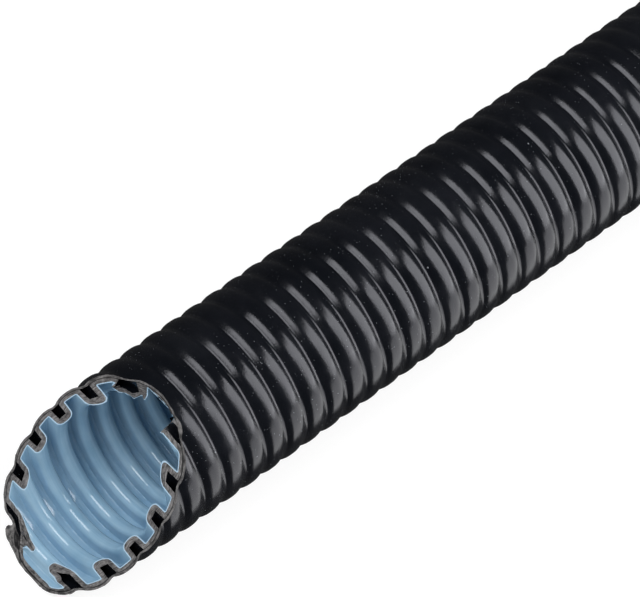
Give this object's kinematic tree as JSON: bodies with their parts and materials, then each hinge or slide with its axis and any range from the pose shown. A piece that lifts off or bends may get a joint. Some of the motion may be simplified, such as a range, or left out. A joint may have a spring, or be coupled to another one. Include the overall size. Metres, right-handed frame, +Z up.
{
  "type": "corrugated conduit",
  "caption": "Straight length of flexible corrugated conduit with a smooth outer jacket, a ringed wall and a thin inner lining, slant-cut at one end and square at the other.",
  "frame": {"origin": "on the tube's axis, halfway between the tip of the slanted end and the square end", "axes": "+X along the tube towards the square end, +Z up, with the tube lying on its side and the tip of the slanted end at the bottom"},
  "size_m": [0.9995, 0.025, 0.025],
  "materials": {
    "jacket": "black, satin to glossy, with fine dust",
    "wall": "grey-black, streaky where it is cut",
    "lining": "pale blue, satin"
  },
  "bodies": {
    "root": {"outer_jacket": "jacket", "corrugated_wall": "wall", "inner_lining": "lining"}
  },
  "joints": []
}
